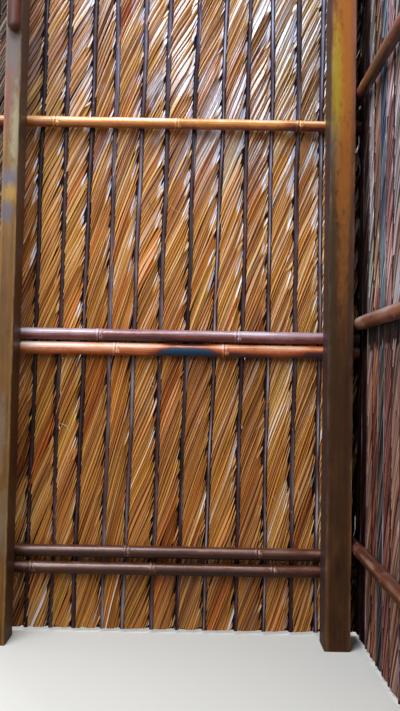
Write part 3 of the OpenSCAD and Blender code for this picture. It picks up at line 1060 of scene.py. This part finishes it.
def lapped(name, axis, upper):
    """Boxes of a plate whose end is halved where the other plate crosses it."""
    low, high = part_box(name)
    body_high, lap_low, lap_high = high.copy(), low.copy(), high.copy()
    body_high[axis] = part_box("corner_post")[0][axis] - LAP_SHOULDER
    lap_low[axis] = body_high[axis] - LAP_OVER
    half_cut = lap_low if upper else lap_high
    half_cut.z = (low.z + high.z) / 2
    return [(low, body_high), (lap_low, lap_high)]


def patched(look, colour, patches):
    """colour with soft-edged patches, stains and painted light, as the tables below give them."""
    flecks = look.noise(look.stretched(look.place, (70, 70, 30)), detail=5.0, roughness=0.7)
    ragged = look.swing(flecks, 2.4)
    for middle, half_size, tint, strength in patches:
        squares = []
        for at, centre, half in zip((look.x, look.z), middle, half_size):
            share = look.operate("DIVIDE", look.operate("SUBTRACT", at, centre * MM), half * MM)
            squares.append(look.operate("POWER", share, 2.0))
        away = look.total(look.operate("SQRT", look.total(*squares)), ragged)
        amount = look.product(look.between(away, 1.45, 0.45), strength)
        colour = look.mixed(amount, colour, thousandths(tint))
    return colour


def timber_material(name, stops, coat, roughness, patches=(), gloss=0.22, specular=0.5):
    """Varnished timber: long grain with cathedrals, runs in the varnish and lighter arrises."""
    look = Finish(name, coat, gloss, specular)
    figure = look.grained((110, 3.2, 3), detail=4.0, distortion=0.6)
    pores = look.grained((900, 22, 5))
    blotches = look.grained((22, 9, 4), detail=4.0, roughness=0.6)
    value = look.total(
        look.tone, look.swing(figure, 0.40), look.swing(pores, 0.16), look.swing(blotches, 0.55)
    )
    colour = patched(look, look.ramp(value, stops), patches)
    rough = look.total(roughness, look.swing(blotches, 0.3))
    return look.made(colour, rough, look.total(pores, figure), 0.4 * MM)


TIMBER_STOPS = (
    (0, 30, 12, 6), (35, 130, 48, 18), (55, 240, 95, 32), (75, 380, 170, 55), (100, 550, 330, 150),
)
LEFT_STOPS = (
    (0, 20, 7, 3), (35, 75, 28, 6), (55, 150, 64, 10), (75, 245, 118, 18), (100, 420, 280, 150),
)
CORNER_STOPS = (
    (0, 8, 4, 3), (35, 32, 13, 6), (55, 70, 28, 10), (75, 135, 56, 18), (100, 360, 220, 130),
)
POLE_STOPS = (
    (0, 8, 2, 2), (45, 44, 8, 5), (70, 120, 24, 11), (100, 600, 460, 360),
)

# Stains, worn places and painted light in the posts' varnish: (x, z) and half the width and height,
# all in mm, the colour in thousandths, and the strength
CORNER_PATCHES = (
    # Lighter over the upper post: partly painted light
    ((10, 1780), (45, 460), (350, 110, 15), 0.9),
    # Yellow-green: painted reflection
    ((-24, 1660), (18, 200), (330, 225, 18), 0.85),
    ((32, 1840), (10, 420), (190, 78, 60), 0.6),
    # Greyish lilac: painted sheen
    ((-26, 1480), (14, 90), (140, 98, 90), 0.55),
    ((8, 1420), (30, 120), (270, 88, 14), 0.8),
    ((-30, 1100), (11, 450), (40, 26, 10), 0.85),
    ((6, 1220), (17, 240), (235, 82, 16), 0.55),
    ((31, 1100), (9, 450), (52, 23, 17), 0.8),
    # Dark below: partly painted shade
    ((0, 700), (60, 220), (50, 20, 8), 0.6),
    # Down the left side face: painted shade
    ((-38.5, 1200), (4, 3000), (50, 28, 30), 0.8),
)
LEFT_PATCHES = (
    # Greyish lilac at the top: painted glare
    ((-1000, 1860), (40, 260), (105, 80, 82), 0.85),
    ((-1012, 1600), (12, 100), (170, 44, 34), 0.75),
    ((-986, 1520), (16, 110), (260, 225, 130), 0.8),
    # Bluish: painted reflection
    ((-1004, 1380), (26, 28), (85, 90, 140), 0.8),
    ((-996, 1335), (22, 28), (340, 190, 30), 0.8),
    # Bluish: painted reflection
    ((-1008, 1280), (22, 32), (80, 84, 125), 0.75),
    ((-1006, 620), (16, 110), (240, 185, 130), 0.4),
    ((-992, 360), (16, 80), (240, 185, 130), 0.4),
    # Down the right side face: painted shade
    ((-975, 1200), (4, 3000), (45, 20, 11), 0.85),
)

# The pole's knot: its height, and where round the pole it is
KNOT_Z = 1.955
KNOT_TURN = 4.4


def pole_knot(z, turn, half_height, half_turn):
    """1 at the middle of the knot, falling to nothing round it."""
    return np.exp(-((z - KNOT_Z) / half_height) ** 2 - ((turn - KNOT_TURN) / half_turn) ** 2)


def add_pole(shape, low, high):
    """The round pole on the left post, with its rounded foot and a small knot."""
    radius = (high[0] - low[0]) / 2
    axis = (low + high) / 2
    turn = np.linspace(0, 2 * math.pi, 29)[:-1]
    foot = [(1 - math.cos(a), math.sin(a)) for a in np.linspace(0.15, math.pi / 2, 7)]
    rows = [(low[2] + radius * rise, radius * reach) for rise, reach in foot]
    rows += [(z, radius * (1 - 0.012)) for z in np.linspace(low[2] + radius * 1.2, high[2], 22)]
    z, reach = np.array(rows).T[..., None]
    reach = reach - 1.2 * MM * pole_knot(z, turn, 9 * MM, 0.35)
    rings = threes(axis[0] + np.cos(turn) * reach, axis[1] + np.sin(turn) * reach, z)
    shape.loft(rings, threes(turn * radius, z, 7.0), 0.5 + 0.9 * pole_knot(z, turn, 11 * MM, 0.4))


# Stage, lights and camera

def make_floor():
    """A pale floor that fades into the backdrop far from the object."""
    mesh = bpy.data.meshes.new("floor")
    corners = [(x * FLOOR_HALF, y * FLOOR_HALF, 0) for x, y in ((-1, -1), (1, -1), (1, 1), (-1, 1))]
    mesh.from_pydata(corners, [], [(0, 1, 2, 3)])
    floor = new_object("floor", mesh)
    material = bpy.data.materials.new("floor")
    look = Nodes(material, Roughness=0.8)
    seen = look.node("LightPath").outputs["Is Camera Ray"]
    look.link("Base Color", look.mixed(seen, (0.36, 0.34, 0.30), (0.80, 0.79, 0.75)))
    away = look.node("VectorMath", {0: look.node("TexCoord").outputs["Object"]}, operation="LENGTH")
    far = look.between(away.outputs["Value"], *FLOOR_FADE)
    clear = look.node("BsdfTransparent").outputs[0]
    shown = look.node("MixShader", {0: far, 1: look.shader.outputs[0], 2: clear}).outputs[0]
    look.tree.links.new(shown, look.tree.nodes["Material Output"].inputs["Surface"])
    mesh.materials.append(material)


def make_world():
    """Soft light all round, shown pale where it is looked at, mirrored or seen through glass."""
    world = bpy.data.worlds.new("studio")
    bpy.context.scene.world = world
    sky = Nodes(world)
    sky.tree.nodes.clear()
    lit = sky.node("Background", {"Color": (0.90, 0.94, 1.0, 1.0), "Strength": 0.40}).outputs[0]
    seen = sky.node("Background", {"Color": (1.0, 1.0, 0.98, 1.0), "Strength": 0.9}).outputs[0]
    path = sky.node("LightPath").outputs
    direct = sky.operate("MAXIMUM", path["Is Camera Ray"], path["Is Glossy Ray"])
    direct = sky.operate("MAXIMUM", direct, path["Is Transmission Ray"])
    shown = sky.node("MixShader", {0: direct, 1: lit, 2: seen}).outputs[0]
    sky.node("OutputWorld", {"Surface": shown})


def area_light(name, place, target, size, power, colour):
    data = bpy.data.lights.new(name, "AREA")
    data.shape = "RECTANGLE"
    data.size, data.size_y = size
    data.energy = power
    data.color = colour
    lamp = new_object(name, data)
    lamp.location = place
    lamp.rotation_euler = (Vector(target) - Vector(place)).to_track_quat("-Z", "Y").to_euler()


def make_camera():
    data = bpy.data.cameras.new("camera")
    data.lens = CAMERA_LENS
    data.sensor_width = 36.0
    data.shift_y = CAMERA_SHIFT
    camera = new_object("camera", data)
    level = Matrix.Rotation(math.radians(90) + CAMERA_PITCH, 4, "X")
    camera.matrix_world = Matrix.Translation(CAMERA_AT) @ level @ Matrix.Rotation(CAMERA_ROLL, 4, "Z")
    bpy.context.scene.camera = camera


# The making. Each piece has a seed of its own: the number in its call

bpy.context.scene.view_settings.view_transform = "Standard"
make_camera()
make_world()
for name, lamp in LAMPS.items():
    area_light(name, *lamp)
make_floor()

leaf = leaf_material("palm_leaf", LEAF_STOPS, 0.36, 0.9, specular=0.35, overlay="painted_sheen_and_shade")
# The frond outside the left post is darkened all over: painted shade
shaded_leaf = leaf_material("shaded_palm_leaf", SHADED_LEAF_STOPS, 0.45, 0.3)
side_leaves = {
    tint: leaf_material(tint + "_side_leaf", stops, 0.5, 0.08, specular=0.1, overlay="browned_with_painted_light", contrast=1.8)
    for tint, stops in SIDE_LEAF_STOPS.items()
}
rib = rib_material()
dry_leaf = leaf_material("dry_palm_leaf", DRY_LEAF_STOPS, 0.62, 0.0, specular=0.12)
back_parts = [[shaded_leaf, rib, dry_leaf]] + [[leaf, rib, dry_leaf]] * 14
side_parts = [[side_leaves[tint], rib, dry_leaf] for tint in SIDE_FINISH]
wall_of_fronds("back_frond_", BACK_PLAN, back_parts, 0, BACK_LEANS, BACK_STEEPS)
wall_of_fronds("side_frond_", SIDE_PLAN, side_parts, 100)

finishes = {
    name: culm_material(name + "_culm", stops, 0.15 if name == "maroon" else 0.2)
    for name, stops in CULM_STOPS.items()
}
for index, name in enumerate(RAILS):
    rail_piece(name, BACK_PLAN if name.startswith("back") else SIDE_PLAN, finishes, 200 + index)
clamp_piece("back_clamps", BACK_PLAN, finishes["weathered"], 220)
clamp_piece("side_clamps", SIDE_PLAN, finishes["weathered"], 221)

timber = timber_material("post_timber", TIMBER_STOPS, 0.15, 0.45)
left_timber = timber_material("left_post_timber", LEFT_STOPS, 0.14, 0.5, LEFT_PATCHES, 0.34, 0.25)
corner_timber = timber_material("corner_post_timber", CORNER_STOPS, 0.08, 0.5, CORNER_PATCHES, 0.30, 0.15)
timber_piece("left_post", 2, left_timber, 240)
timber_piece("corner_post", 2, corner_timber, 241)
timber_piece("side_post", 2, timber, 242)
timber_piece("back_plate", 0, timber, 243, lapped("back_plate", 0, False))
timber_piece("side_plate", 1, timber, 244, lapped("side_plate", 1, True))
pole_paint = timber_material("pole_varnish", POLE_STOPS, 0.12, 0.5, gloss=0.25, specular=0.3)
pole = Shape()
add_pole(pole, *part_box("post_pole"))
piece(pole, "post_pole_wood", ["post_pole"], [pole_paint])
